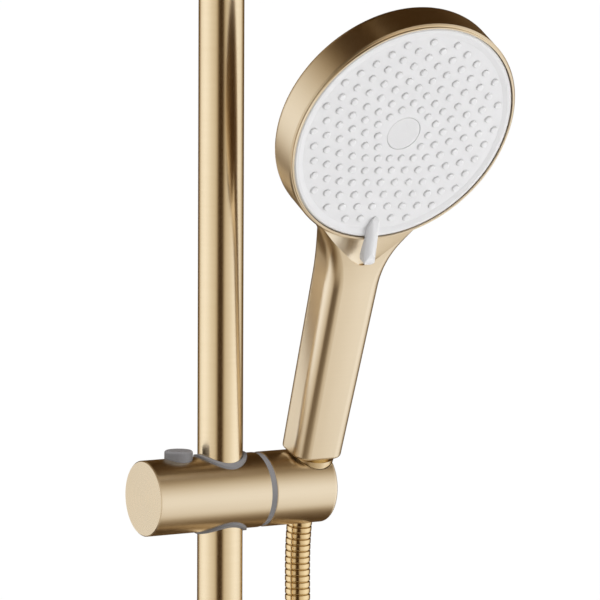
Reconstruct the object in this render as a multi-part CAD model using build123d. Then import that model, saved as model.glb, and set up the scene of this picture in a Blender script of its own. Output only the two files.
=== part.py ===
"""Wall shower column: riser rail, overhead rain head, sliding holder, hand shower and hose."""
import os
from math import atan2, ceil, cos, degrees, pi, radians, sin, sqrt, tan

from build123d import *

OUT = os.path.join(os.path.dirname(os.path.abspath(__file__)), "parts")
os.makedirs(OUT, exist_ok=True)

# Frame: millimetres, +Z up, wall plane at Y = 0, column towards -Y, origin at the wall inlet.
RAIL_OUT = 70.0
RAIL_R = 12.0
RAIL_WALL = 1.2
SLIDER_Z = 540.0
BRACKET_Z = 890.0
ARM_Z = 1165.0
ARM_BEND = 70.0
ARM_REACH = 360.0
ARM_END_Z = 1070.0
SLEEVE_HALF = 16.0
SLEEVE_WALL = 2.15
GROOVE_DEPTH = 1.15
O_RING_Z = 9.0
O_RING_R = 0.53
NIPPLE_LEN = 12.0
NIPPLE_BORE = 8.0

# Wall bracket, its plate on the wall
COLLAR_R = 17.0
COLLAR_HALF = 18.0
POST_R = 10.0
PLATE_R = 22.0
PLATE_T = 6.0
PIN_R = 6.0
PIN_LEN = 15.5
COVER_R = 28.0
COVER_LEN = 24.0
COVER_WALL = 2.5
COVER_EDGE = 3.0
WALL_SCREW_AT = 15.0
WALL_SCREW_R = 2.4

# Small headless screws
GRUB_R = 2.5
GRUB_HEX = 1.1
PIN_SCREW_R = 2.0
PIN_SCREW_HEX = 0.9
CLAMP_SCREW_Z = -9.0
POST_SCREW_Y = RAIL_OUT - 14.0

# Fits
SEAT_GAP = 0.05
RUN_GAP = 0.08
SLIDE_GAP = 0.2
TURN_GAP = 0.3

# Sliding holder, along X with the rail axis at X = 0
BARREL_R = 19.9
BARREL_LEFT = -46.1
CAP_T = 1.2
BODY_RIGHT = 20.4
RING_T = 3.5
HOLDER_RIGHT = 61.1
BORE_R = 17.2
BORE_END = -16.5
LINER_WALL = 1.9
LINER_PROUD = 1.1
LEAN = 20.0
BUTTON_X = -25.0
BUTTON_R = 7.5
BUTTON_TOP = 24.1
SHELF_TOP = 8.8
PIVOT_R = 4.0
PLUG_R = 7.3
PLUG_FLANGE_R = 9.5
PLUG_STUB_R = 4.0
BRAKE_SPRING_AT = -20.1
COLLAR_LOW = 12.9
COLLAR_T = 1.5

# Cone nut and hose end, along the leaning cone axis with zero on the barrel axis
CONE_X = 51.8
CONE_TOP = 19.6
CONE_BOTTOM = -14.0
CONE_R_TOP = 12.2
CONE_R_BOTTOM = 9.8
THREAD_R = 10.4
SLOT_W = 15.0
FERRULE_R = 7.6
FERRULE_END = -2.0

# Hand shower, upright along Z with its front towards -Y
HANDLE_BOTTOM = 20.6
HANDLE_D = 21.5
HANDLE_HALF = 14.5
HANDLE_EDGE = 8.0
HANDLE_BACK_EDGE = 5.5
HANDLE_CROWN = 1.0
HANDLE_FOOT_EDGE = 1.6
HANDLE_BORE = 8.8
BORE_TOP = 156.0
BOSS_R = 6.4
BOSS_TOP = 172.0
BOSS_GAP = 0.5
FLARE_START = 122.0
FLARE_BEND = 25.0
FLARE_LEN = 46.0
FLARE_R = 38.0
FLARE_EDGE = 4.0
FLARE_STEPS = 22
SCOOP_TIP = 83.0
SCOOP_LEN = 36.0
SCOOP_HALF = 61.0
SCOOP_RISE = 15.0
SCOOP_DEPTH = 6.0
SCOOP_IN = 3.4
FACE_Y = -26.0
FACE_Z = 215.9
FACE_TILT = 7.9
HEAD_R = 65.0
HEAD_WALL_BACK = -16.8
HEAD_BACK = -30.0
RIM_W = 2.1
CHAMBER_IN = 1.3
SEAL_IN = 10.6
FACE_FRONT = -1.0
FACE_BACK = -3.4
NUB_R = 2.0
NUB_TIP = -0.05
NUB_ROWS = (3, 4, 5, 6, 7)
NUB_FIRST = 14.8
NUB_LAST_IN = 11.3
CENTRE_R = 9.4
FACE_SCREW_R = 2.5
LEVER_IN = 12.4
LEVER_OUT = 14.0
LEVER_HALF = 3.5
LEVER_RISE = 7.0
FACE_TURN = -2.0
LEVER_TURN = -0.4

# Lower diverter, along X at the wall inlet's height
DIV_LEFT = -40.0
DIV_RIGHT = 34.0
DIV_BORE = 11.0
KNOB_LEFT = -68.0
SPINDLE_R = 4.0
OUTLET_X = -22.0
SOCKET_FLOOR = 10.0
SOCKET_TOP = 28.0
INLET_LEN = 18.0
INLET_NECK_R = 9.6
WALL_THREAD_R = 10.48
INLET_BORE = 7.5
INLET_R = 14.0
INLET_SEAT = 18.0
INLET_COVER_R = 31.0
INLET_COVER_LEN = 12.0
OUTLET_LEN = 34.0
FOOT_SCREW_Z = 23.0
CARTRIDGE_NUT_R = 12.9

# Rain head
BALL_R = 11.0
BALL_Z = 1024.0
BALL_BORE = 4.5
BALL_NECK_R = 13.5
STEM_FLOOR = 32.0
RAIN_R = 125.0
RAIN_WALL = 1.6
JET_R = 2.0
RAIN_ROWS = (15.0, 31.0, 47.0, 63.0, 79.0, 95.0, 110.0)

# Hose
HOSE_R = 6.75
HOSE_VALLEY = 6.05
HOSE_BORE = 4.2
HOSE_PITCH = 3.44
HOSE_LENGTH = 1500.0
HOSE_TOP_END = 150.0
HOSE_MID_END = 300.0
LOWER_RIBS = 112
HOSE_FIRST = 20.0
HOSE_FOOT_Z = -58.0
FLANGE_R = 9.8
WASHER_R = 10.2
LOOP_X = 12.5
LOOP_R = 80.0

LINER_R = RAIL_R + SLIDE_GAP + LINER_WALL
OPENING_R = HEAD_R - RIM_W
FACE_R = OPENING_R - TURN_GAP
NUB_STEP = (FACE_R - NUB_LAST_IN - NUB_FIRST) / len(NUB_ROWS)

AT_RAIL = Pos(0, -RAIL_OUT, 0)
AT_SLIDER = Pos(0, -RAIL_OUT, SLIDER_Z)
AT_CONE = AT_SLIDER * Pos(CONE_X, 0, 0) * Rot(LEAN, 0, 0)
AT_BUTTON = AT_SLIDER * Pos(BUTTON_X, 0, 0)
FACE_NORMAL = (0, -cos(radians(FACE_TILT)), -sin(radians(FACE_TILT)))
FACE_PLANE = Plane(origin=(0, FACE_Y, FACE_Z), x_dir=(1, 0, 0), z_dir=FACE_NORMAL)
AT_FACE = AT_CONE * FACE_PLANE.location
AT_DISC = AT_FACE * Rot(0, 0, FACE_TURN)
AT_BRACKET = Pos(0, -RAIL_OUT, BRACKET_Z)
AT_BALL = Pos(0, -RAIL_OUT - ARM_REACH, BALL_Z)
NODES = {}


def save(name, shape):
    """Keep one node under its name."""
    NODES[name] = shape


def cyl_x(r, a, b):
    return Pos((a + b) / 2, 0, 0) * Rot(0, 90, 0) * Cylinder(r, b - a)


def cyl_y(r, a, b):
    return Pos(0, (a + b) / 2, 0) * Rot(90, 0, 0) * Cylinder(r, b - a)


def cyl_z(r, a, b):
    return Pos(0, 0, (a + b) / 2) * Cylinder(r, b - a)


def ring_x(r_out, r_in, a, b):
    return cyl_x(r_out, a, b) - cyl_x(r_in, a - 1, b + 1)


def ring_y(r_out, r_in, a, b):
    return cyl_y(r_out, a, b) - cyl_y(r_in, a - 1, b + 1)


def ring_z(r_out, r_in, a, b):
    return cyl_z(r_out, a, b) - cyl_z(r_in, a - 1, b + 1)


def cone_z(r_low, r_high, a, b):
    return Pos(0, 0, (a + b) / 2) * Cone(r_low, r_high, b - a)


def turned(points):
    """Solid of revolution about Z from (radius, height) corners."""
    return revolve(Plane.XZ * make_face(Polyline(*points, close=True)), Axis.Z)


def coil(mean_r, wire_r, pitch, height):
    """Open helical spring standing on Z = 0."""
    path = Pos(0, 0, wire_r) * Helix(pitch, height - 2 * wire_r, mean_r)
    start = path @ 0
    section = Plane(origin=start, x_dir=(0, 0, 1), z_dir=path % 0) * Circle(wire_r)
    return sweep(section, path, is_frenet=True)


# Riser, overhead arm and wall bracket

def riser():
    """Straight rail with the slider on it, and its inner joining sleeve at the top."""
    top = BRACKET_Z
    save("riser_rail", AT_RAIL * ring_z(RAIL_R, RAIL_R - RAIL_WALL, SOCKET_FLOOR, top))
    sleeve_r = RAIL_R - RAIL_WALL - SEAT_GAP
    sleeve = ring_z(sleeve_r, sleeve_r - SLEEVE_WALL, top - SLEEVE_HALF, top + SLEEVE_HALF)
    for height in (top - O_RING_Z, top + O_RING_Z):
        sleeve -= ring_z(RAIL_R, sleeve_r - GROOVE_DEPTH, height - 1, height + 1)
    save("joining_sleeve", AT_RAIL * sleeve)
    ring = Torus(sleeve_r - O_RING_R - 0.02, O_RING_R)
    rings = Pos(0, 0, top - O_RING_Z) * ring + Pos(0, 0, top + O_RING_Z) * ring
    save("sleeve_o_rings", AT_RAIL * rings)


def arm_path():
    """Centre line of the bent overhead arm."""
    end_y = -RAIL_OUT - ARM_REACH
    corners = [(0, -RAIL_OUT, BRACKET_Z + SLIDE_GAP), (0, -RAIL_OUT, ARM_Z)]
    corners += [(0, end_y, ARM_Z), (0, end_y, ARM_END_Z)]
    return FilletPolyline(*corners, radius=ARM_BEND)


def overhead_arm():
    """Bent tube and the threaded nipple fixed in its end."""
    path = arm_path()
    tube = Circle(RAIL_R) - Circle(RAIL_R - RAIL_WALL)
    section = Plane(origin=path @ 0, z_dir=path % 0) * tube
    save("overhead_arm", sweep(section, path))
    nipple = cyl_z(RAIL_R - RAIL_WALL - SEAT_GAP, 0, SLEEVE_HALF) + cyl_z(THREAD_R, -NIPPLE_LEN, 0)
    nipple -= cyl_z(NIPPLE_BORE, -NIPPLE_LEN - 1, SLEEVE_HALF + 1)
    save("arm_nipple", Pos(0, -RAIL_OUT - ARM_REACH, ARM_END_Z) * nipple)


def wall_bracket():
    """Clamp collar on a short post, its wall plate and round cover."""
    wall = RAIL_OUT
    collar = cyl_z(COLLAR_R, -COLLAR_HALF, COLLAR_HALF)
    clamp = collar + cyl_y(POST_R, RAIL_R, wall - PLATE_T - SLIDE_GAP)
    rims = clamp.edges().group_by(Axis.Z)
    clamp = fillet(rims[-1] + rims[0], 1.5)
    clamp -= cyl_z(RAIL_R + SEAT_GAP, -COLLAR_HALF - 1, COLLAR_HALF + 1)
    clamp -= cyl_y(PIN_R + SEAT_GAP, wall - PLATE_T - PIN_LEN - 0.5, wall)
    clamp -= Pos(0, 0, CLAMP_SCREW_Z) * cyl_x(GRUB_R + SEAT_GAP, -COLLAR_R - 1, -RAIL_R + 1)
    clamp -= Pos(0, POST_SCREW_Y, 0) * cyl_z(PIN_SCREW_R + SEAT_GAP, -POST_R - 2, -PIN_R + 1)
    save("wall_bracket", AT_BRACKET * clamp)
    plate = cyl_y(PLATE_R, wall - PLATE_T, wall)
    plate += cyl_y(PIN_R, wall - PLATE_T - PIN_LEN, wall - PLATE_T + 1)
    for k in range(3):
        hole = Pos(WALL_SCREW_AT, 0, 0) * cyl_y(WALL_SCREW_R, wall - PLATE_T - 1, wall + 1)
        plate -= Rot(0, 90 + 120 * k, 0) * hole
    save("wall_plate", AT_BRACKET * plate)
    cover = cyl_y(COVER_R, wall - COVER_LEN, wall - SLIDE_GAP)
    cover = fillet(cover.edges().group_by(Axis.Y)[0], COVER_EDGE)
    cover -= cyl_y(COVER_R - COVER_WALL, wall - COVER_LEN + COVER_WALL, wall + 1)
    cover -= cyl_y(POST_R + SEAT_GAP * 2, wall - COVER_LEN - 1, wall)
    save("bracket_cover", AT_BRACKET * cover)
    clamp_screw = cyl_x(GRUB_R, -COLLAR_R + 0.5, -RAIL_R - 0.5)
    clamp_screw -= cyl_x(GRUB_HEX, -COLLAR_R, -RAIL_R - 2.5)
    clamp_screw = Pos(0, 0, CLAMP_SCREW_Z) * clamp_screw
    clamp_screw -= cyl_z(RAIL_R + SEAT_GAP, -COLLAR_HALF, COLLAR_HALF)
    save("clamp_screw", AT_BRACKET * clamp_screw)
    post_screw = cyl_z(PIN_SCREW_R, -POST_R + SLIDE_GAP, -PIN_R - 0.1)
    post_screw -= cyl_z(PIN_SCREW_HEX, -POST_R - 1, -PIN_R - 2.3)
    save("post_screw", AT_BRACKET * Pos(0, POST_SCREW_Y, 0) * post_screw)


# Lower diverter

def diverter_body():
    """Barrel that takes wall water and sends it up the rail or out to the hose."""
    body = cyl_x(BARREL_R, DIV_LEFT, DIV_RIGHT)
    body = fillet(body.edges().group_by(Axis.X)[-1], 2)
    body += cyl_y(INLET_R, 0, RAIL_OUT - 4)
    body += cyl_z(RAIL_R + 4.5, 0, SOCKET_TOP)
    body += Pos(OUTLET_X, 0, 0) * cyl_z(THREAD_R, -OUTLET_LEN, 0)
    body = fillet(body.edges().group_by(Axis.Z)[-1], 1.2)
    body -= cyl_x(DIV_BORE, DIV_LEFT - 1, 20)
    body -= cyl_x(CARTRIDGE_NUT_R + 0.1, DIV_LEFT - 1, DIV_LEFT + 8)
    body -= cyl_z(RAIL_R + SEAT_GAP, SOCKET_FLOOR, SOCKET_TOP + 1)
    body -= cyl_z(NIPPLE_BORE, 0, SOCKET_FLOOR + 1)
    body -= cyl_y(INLET_BORE, 0, RAIL_OUT)
    body -= cyl_y(INLET_NECK_R + SEAT_GAP, RAIL_OUT - INLET_SEAT, RAIL_OUT)
    body -= Pos(OUTLET_X, 0, 0) * cyl_z(6.5, -OUTLET_LEN - 1, 0)
    body -= Pos(0, 0, FOOT_SCREW_Z) * cyl_y(GRUB_R + SEAT_GAP, RAIL_R - 1, RAIL_R + 6)
    save("diverter_body", AT_RAIL * body)
    screw = cyl_y(GRUB_R, RAIL_R, RAIL_R + 4) - cyl_y(GRUB_HEX, RAIL_R + 2, RAIL_R + 5)
    screw = Pos(0, 0, FOOT_SCREW_Z) * screw - cyl_z(RAIL_R + SEAT_GAP, 0, SOCKET_TOP)
    save("foot_screw", AT_RAIL * screw)


def diverter_inlet():
    """Threaded nipple into the wall, its washer and the round wall cover."""
    neck_end = RAIL_OUT - INLET_SEAT + 2
    nipple = cyl_y(INLET_NECK_R, neck_end, RAIL_OUT)
    nipple += cyl_y(WALL_THREAD_R, RAIL_OUT, RAIL_OUT + INLET_LEN)
    save("inlet_nipple", AT_RAIL * (nipple - cyl_y(INLET_BORE, 0, 2 * RAIL_OUT)))
    washer_start = RAIL_OUT - INLET_SEAT + SEAT_GAP
    washer = ring_y(INLET_NECK_R - 0.1, INLET_BORE + 0.1, washer_start, neck_end - SEAT_GAP)
    save("inlet_washer", AT_RAIL * washer)
    front = RAIL_OUT - INLET_COVER_LEN
    cover = cyl_y(INLET_COVER_R, front, RAIL_OUT)
    cover = fillet(cover.edges().group_by(Axis.Y)[0], COVER_EDGE)
    cover -= cyl_y(INLET_COVER_R - COVER_WALL, front + COVER_WALL, RAIL_OUT + 1)
    cover -= cyl_y(INLET_R + SEAT_GAP * 2, front - 1, RAIL_OUT)
    save("inlet_cover", AT_RAIL * cover)


def diverter_valve():
    """Cartridge, its ring nut, spindle and the turning knob."""
    cartridge = cyl_x(DIV_BORE - SEAT_GAP, DIV_LEFT + 8, -12)
    cartridge += cyl_x(12.8, DIV_LEFT + 5, DIV_LEFT + 8)
    cartridge -= cyl_x(SPINDLE_R + RUN_GAP, DIV_LEFT, 0)
    cartridge -= Pos(OUTLET_X, 0, 0) * cyl_z(5, -12, 0)
    save("diverter_cartridge", AT_RAIL * cartridge)
    nut = ring_x(CARTRIDGE_NUT_R, 6, DIV_LEFT + 0.5, DIV_LEFT + 5 - SEAT_GAP)
    save("cartridge_nut", AT_RAIL * nut)
    disc = cyl_x(9, -11.7, -8.5) - Pos(0, 5.5, 0) * cyl_x(2.2, -13, -7)
    spindle = cyl_x(SPINDLE_R, KNOB_LEFT + 10, -11) + disc
    save("diverter_spindle", AT_RAIL * spindle)
    at_middle = Pos((KNOB_LEFT + DIV_LEFT) / 2, 0, 0)
    knob = cyl_x(BARREL_R, KNOB_LEFT, DIV_LEFT - 0.6)
    knob = fillet(knob.edges().group_by(Axis.X)[0], 2)
    for k in range(12):
        flute = Pos(0, BARREL_R + 1.4, 0) * cyl_x(2.2, KNOB_LEFT + 6, DIV_LEFT - 6)
        knob -= Rot(30 * k + 15, 0, 0) * flute
    knob += at_middle * cyl_z(3.2, 10, 34)
    knob -= cyl_x(SPINDLE_R + SEAT_GAP, KNOB_LEFT + 9.5, DIV_LEFT)
    knob -= cyl_x(13, DIV_LEFT - 4, DIV_LEFT)
    knob -= at_middle * cyl_z(PIN_SCREW_R + SEAT_GAP, -BARREL_R - 1.1, -SPINDLE_R + 1)
    save("diverter_knob", AT_RAIL * knob)
    screw = cyl_z(PIN_SCREW_R, -17, -SPINDLE_R - SEAT_GAP) - cyl_z(PIN_SCREW_HEX, -18, -14.5)
    save("knob_screw", AT_RAIL * at_middle * screw)


# Sliding holder

def slider_body():
    """Left barrel that grips the rail, with its end cap."""
    body = cyl_x(BARREL_R, BARREL_LEFT + CAP_T, BODY_RIGHT)
    body -= cyl_x(BORE_R, BARREL_LEFT, BORE_END)
    body -= cyl_z(LINER_R + SEAT_GAP, -30, 30)
    body -= cyl_x(PLUG_R + TURN_GAP, BORE_END - 1, -5)
    body -= cyl_x(7, 5, 16.6)
    body -= cyl_x(PIVOT_R + RUN_GAP, 10, 25)
    body -= Pos(BUTTON_X, 0, 0) * cyl_z(BUTTON_R + SLIDE_GAP, 5, 40)
    save("slider_body", AT_SLIDER * body)
    cap = cyl_x(BARREL_R, BARREL_LEFT, BARREL_LEFT + CAP_T)
    cap = chamfer(cap.edges().group_by(Axis.X)[0], 0.5)
    cap += ring_x(BORE_R - SEAT_GAP, 14, BARREL_LEFT + CAP_T, BARREL_LEFT + 5)
    cap += cyl_x(4, BARREL_LEFT + CAP_T, BARREL_LEFT + 7)
    save("slider_end_cap", AT_SLIDER * cap)


def rail_liner():
    """Plastic sleeve between barrel and rail, its saddle-shaped ends standing a little proud."""
    liner = ring_z(LINER_R, RAIL_R + SLIDE_GAP, -26, 26) & cyl_x(BARREL_R + LINER_PROUD, -20, 20)
    liner -= cyl_x(PLUG_R + TURN_GAP, -20, -5)
    save("rail_liner", AT_SLIDER * liner)


def rail_brake():
    """Spring-loaded brake plug that bears on the rail."""
    plug = cyl_x(PLUG_R, -17, -8) + cyl_x(PLUG_FLANGE_R, -20, -16.8) + cyl_x(PLUG_STUB_R, -23, -19)
    plug -= cyl_z(RAIL_R + TURN_GAP, -30, 30)
    save("brake_plug", AT_SLIDER * plug)
    spring = coil(5.4, 0.6, 3.0, 24.7)
    save("brake_spring", AT_SLIDER * Pos(BRAKE_SPRING_AT, 0, 0) * Rot(0, -90, 0) * spring)


def release_button():
    """Push button on top of the barrel with its shelf and return spring."""
    collar_top = COLLAR_LOW + COLLAR_T
    button = cyl_z(BUTTON_R, collar_top, BUTTON_TOP)
    button = fillet(button.edges().group_by(Axis.Z)[-1], 1.2)
    button += cyl_z(8.4, COLLAR_LOW, collar_top) + cyl_z(3, 9.4, COLLAR_LOW + 0.1)
    save("release_button", AT_BUTTON * button)
    shelf = Pos(-3.8, 0, SHELF_TOP - 0.8) * Box(16.4, 31, 1.6)
    shelf = shelf & cyl_x(BORE_R - SEAT_GAP, -20, 20)
    save("button_shelf", AT_BUTTON * (shelf - cyl_z(3.4, 0, 20)))
    spring = coil(4.6, 0.4, 1.5, COLLAR_LOW - SHELF_TOP)
    save("button_spring", AT_BUTTON * Pos(0, 0, SHELF_TOP) * spring)


def holder():
    """Right barrel that turns on the pivot and takes the cone nut in an open-sided taper."""
    left = BODY_RIGHT + RING_T
    body = cyl_x(BARREL_R, left, HOLDER_RIGHT)
    body = fillet(body.edges().group_by(Axis.X)[-1], 2)
    body = chamfer(body.edges().group_by(Axis.X)[0], 0.4)
    slope = (CONE_R_TOP - CONE_R_BOTTOM) / (CONE_TOP - CONE_BOTTOM)
    low = CONE_R_BOTTOM + TURN_GAP - 12 * slope
    high = CONE_R_TOP + TURN_GAP + 6.4 * slope
    socket = cone_z(low, high, CONE_BOTTOM - 12, CONE_TOP + 6.4)
    slot = Pos(15, 0, 0) * Box(30, SLOT_W, 80)
    body -= Pos(CONE_X, 0, 0) * Rot(LEAN, 0, 0) * (socket + slot)
    body -= cyl_x(PIVOT_R + SEAT_GAP, left - 1, 36)
    body -= cyl_x(10, left - 1, left + 2)
    save("holder", AT_SLIDER * body)


def holder_pivot():
    """Bolt, friction ring and spring washer between the two barrels."""
    bolt = cyl_x(6.6, 14.4, 16.5) + cyl_x(PIVOT_R, 16, 35.5) - cyl_x(2, 14, 15.8)
    save("pivot_bolt", AT_SLIDER * bolt)
    ring = ring_x(BARREL_R - 0.35, 6, BODY_RIGHT + 0.05, BODY_RIGHT + RING_T - 0.1)
    save("friction_ring", AT_SLIDER * ring)
    left = BODY_RIGHT + RING_T
    washer = turned([(4.4, 0.5), (4.4, 1.6), (9.4, 1.1), (9.4, 0.05)])
    save("spring_washer", AT_SLIDER * Pos(left + 0.2, 0, 0) * Rot(0, 90, 0) * washer)


# Hand shower

def handle_width(z):
    """Half widths of the handle's front and back at one height."""
    climb = min(1.0, (z - HANDLE_BOTTOM) / (FLARE_START - HANDLE_BOTTOM))
    over = max(0.0, z - FLARE_START)
    bend = min(over, FLARE_BEND)
    steepest = FLARE_BEND / sqrt(FLARE_R ** 2 - FLARE_BEND ** 2)
    spread = FLARE_R - sqrt(FLARE_R ** 2 - bend ** 2) + steepest * (over - bend)
    front = HANDLE_HALF + 1.0 * climb + spread
    back = HANDLE_HALF + 3.1 * climb + 1.5 * over / FLARE_LEN
    return front, back


def handle_section(z, front, back, edge, front_half, back_half):
    """Rounded four-sided section of the handle with a crowned front."""
    crown = ThreePointArc((-front_half, front), (0, front - HANDLE_CROWN), (front_half, front))
    rest = Polyline((front_half, front), (back_half, back), (-back_half, back), (-front_half, front))
    outline = make_face(Curve() + crown + rest)
    outline = fillet(outline.vertices().group_by(Axis.Y)[0], edge)
    return Pos(0, 0, z) * fillet(outline.vertices().group_by(Axis.Y)[-1], HANDLE_BACK_EDGE)


def handle_form():
    """Handle whose front flares into the head, and the spine on its back."""
    rows = [(HANDLE_BOTTOM, 0.0)]
    rows += [(FLARE_START + FLARE_LEN * k / FLARE_STEPS, k / FLARE_STEPS) for k in range(FLARE_STEPS + 1)]
    sections = []
    for z, t in rows:
        front = -HANDLE_D / 2 - 5.2 * t ** 1.8
        back = HANDLE_D / 2 - 2.0 * t ** 2
        edge = HANDLE_EDGE + (FLARE_EDGE - HANDLE_EDGE) * t
        sections.append(handle_section(z, front, back, edge, *handle_width(z)))
    grip = loft(sections, ruled=True)
    grip = fillet(grip.edges().group_by(Axis.Z)[0], HANDLE_FOOT_EDGE)
    sections = []
    for k in range(15):
        t = k / 14
        front = -6.0 - 10.0 * t ** 2
        back = 10.6 - 10.0 * t ** 2
        outline = RectangleRounded(33 + 11 * t, back - front, 7)
        sections.append(Pos(0, (front + back) / 2, FLARE_START + 6 + 82 * t) * outline)
    return grip + loft(sections, ruled=True)


def head_form():
    """Filled outside of the head, front face on local Z = 0."""
    points = [(0, HEAD_BACK), (HEAD_R - 25, HEAD_BACK + 3.4)]
    points += [(HEAD_R - 4, HEAD_BACK + 8.6), (HEAD_R, HEAD_WALL_BACK)]
    back = Spline(*points, tangents=((1, 0), (0, 1)))
    corners = [(HEAD_R, HEAD_WALL_BACK), (HEAD_R, -1.7), (HEAD_R - 0.7, -0.9), (HEAD_R - 1.2, -0.9)]
    corners += [(HEAD_R - 1.4, 0), (0, 0), (0, HEAD_BACK)]
    outline = make_face(Curve() + back + Polyline(*corners))
    return revolve(Plane.XZ * outline, Axis.Z)


def scoop_form():
    """Flat oval cone that hollows the flare, from a tip below the lever up to the head's rim."""
    sections = []
    for share in (0.02, 1.0):
        height = SCOOP_LEN * share - SCOOP_TIP
        centre = (SCOOP_RISE - SCOOP_DEPTH) * share - SCOOP_IN
        across = Plane((0, height, centre), x_dir=(1, 0, 0), z_dir=(0, 1, 0))
        sections.append(across * Ellipse(SCOOP_HALF * share, SCOOP_RISE * share))
    return loft(sections, ruled=True) - cyl_z(HEAD_R, -40, 40)


def handset_shell():
    """Hollow shell of head and handle."""
    shell = handle_form() + FACE_PLANE.location * head_form()
    shell -= FACE_PLANE.location * scoop_form()
    wall = OPENING_R - 1.1
    edge = (wall - 4.8, HEAD_BACK + 13.6)
    inner = Spline((0, HEAD_BACK + 2.6), (HEAD_R - 27, HEAD_BACK + 6.6), edge)
    corners = [edge, (wall, -15.2), (wall, -9), (OPENING_R, -9), (OPENING_R, 1)]
    corners += [(0, 1), (0, HEAD_BACK + 2.6)]
    cavity = revolve(Plane.XZ * make_face(Curve() + inner + Polyline(*corners)), Axis.Z)
    shell -= FACE_PLANE.location * cavity
    shell -= cyl_z(HANDLE_BORE, 0, BORE_TOP)
    shell -= cyl_z(BOSS_R + BOSS_GAP, BORE_TOP - 1, BOSS_TOP + BOSS_GAP)
    save("handset_shell", AT_CONE * shell)


def handset_waterway():
    """Threaded inlet, tube up the handle and the chamber behind the face."""
    nipple = cyl_z(THREAD_R, 9.0, HANDLE_BOTTOM - SEAT_GAP)
    nipple += cyl_z(HANDLE_BORE - SEAT_GAP, HANDLE_BOTTOM - 0.1, 34)
    save("handset_nipple", AT_CONE * (nipple - cyl_z(6.2, 8, 35)))
    save("handle_tube", AT_CONE * ring_z(HANDLE_BORE - SEAT_GAP, 6.5, 34.1, 146))
    chamber = cyl_z(OPENING_R - CHAMBER_IN, -15, -9.3)
    seal_r = FACE_R - SEAL_IN
    chamber -= ring_z(seal_r + 1.1, seal_r - 1.1, -10.4, -9)
    chamber -= cyl_z(FACE_SCREW_R + SEAT_GAP, -13, 0)
    chamber -= ring_z(seal_r - 8, 16, -13, -9)
    chamber = FACE_PLANE.location * chamber
    boss = cyl_z(BOSS_R, 136, BOSS_TOP) - cyl_z(4.2, 130, 165)
    trim = FACE_PLANE.location * cyl_z(80, -12, 20)
    chamber += boss - trim
    save("spray_chamber", AT_CONE * chamber)
    save("chamber_seal", AT_FACE * Pos(0, 0, -9.45) * Torus(seal_r, 0.9))
    screw = cyl_z(5.4, -3.15, -1.9) + cyl_z(FACE_SCREW_R, -12.8, -3)
    screw -= cyl_z(1.4, -2.7, -1)
    save("face_screw", AT_FACE * screw)


def nub_points():
    """Jet positions: five straight-sided sectors of rows, and a short outer row to each."""
    points = []
    for k in NUB_ROWS + (8,):
        far = NUB_FIRST + (k - NUB_ROWS[0]) * NUB_STEP
        half = far * tan(pi / 5)
        slots = range(k) if k in NUB_ROWS else range(2, 7)
        for sector in range(5):
            for i in slots:
                if k == 8 and sector == 0 and i == 4:
                    continue
                along = -half + 2 * half * i / k
                turn = radians(72 * sector)
                x = along * cos(turn) + far * sin(turn)
                y = along * sin(turn) - far * cos(turn)
                points.append((x, y))
    return points


def spray_face():
    """White turning face, soft jets behind it and the plate that backs them."""
    profile = [(0, FACE_BACK), (FACE_R, FACE_BACK), (FACE_R, -1.2), (FACE_R - 1.0, -0.35)]
    profile += [(FACE_R - 2.4, -0.35), (FACE_R - 5.0, FACE_FRONT), (0, FACE_FRONT)]
    face = turned(profile) - cyl_z(CENTRE_R + 0.2, -5, 1)
    spots = nub_points()
    face = face.cut(*[Pos(x, y, -2) * Cylinder(NUB_R + SEAT_GAP, 5) for x, y in spots])
    save("spray_face", AT_DISC * face)
    nub = fillet(cyl_z(NUB_R, -4, NUB_TIP).edges().group_by(Axis.Z)[-1], 0.9)
    mat = ring_z(FACE_R - 4.1, 6.3, -5.0, FACE_BACK - 0.05)
    mat = mat.fuse(*[Pos(x, y, 0) * nub for x, y in spots])
    save("jet_mat", AT_DISC * mat)
    plate = cyl_z(FACE_R - 2.0, -8.0, -5.05) + cyl_z(6.1, -6, FACE_BACK - 0.1)
    plate -= cyl_z(FACE_SCREW_R + TURN_GAP, -9, 0)
    save("jet_plate", AT_DISC * plate)
    cap = cyl_z(CENTRE_R, -1.6, FACE_FRONT) + ring_z(CENTRE_R, 8.2, FACE_BACK, -1.5)
    cap = chamfer(cap.edges().group_by(Axis.Z)[-1], 0.25)
    save("centre_cap", AT_DISC * cap)


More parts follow.
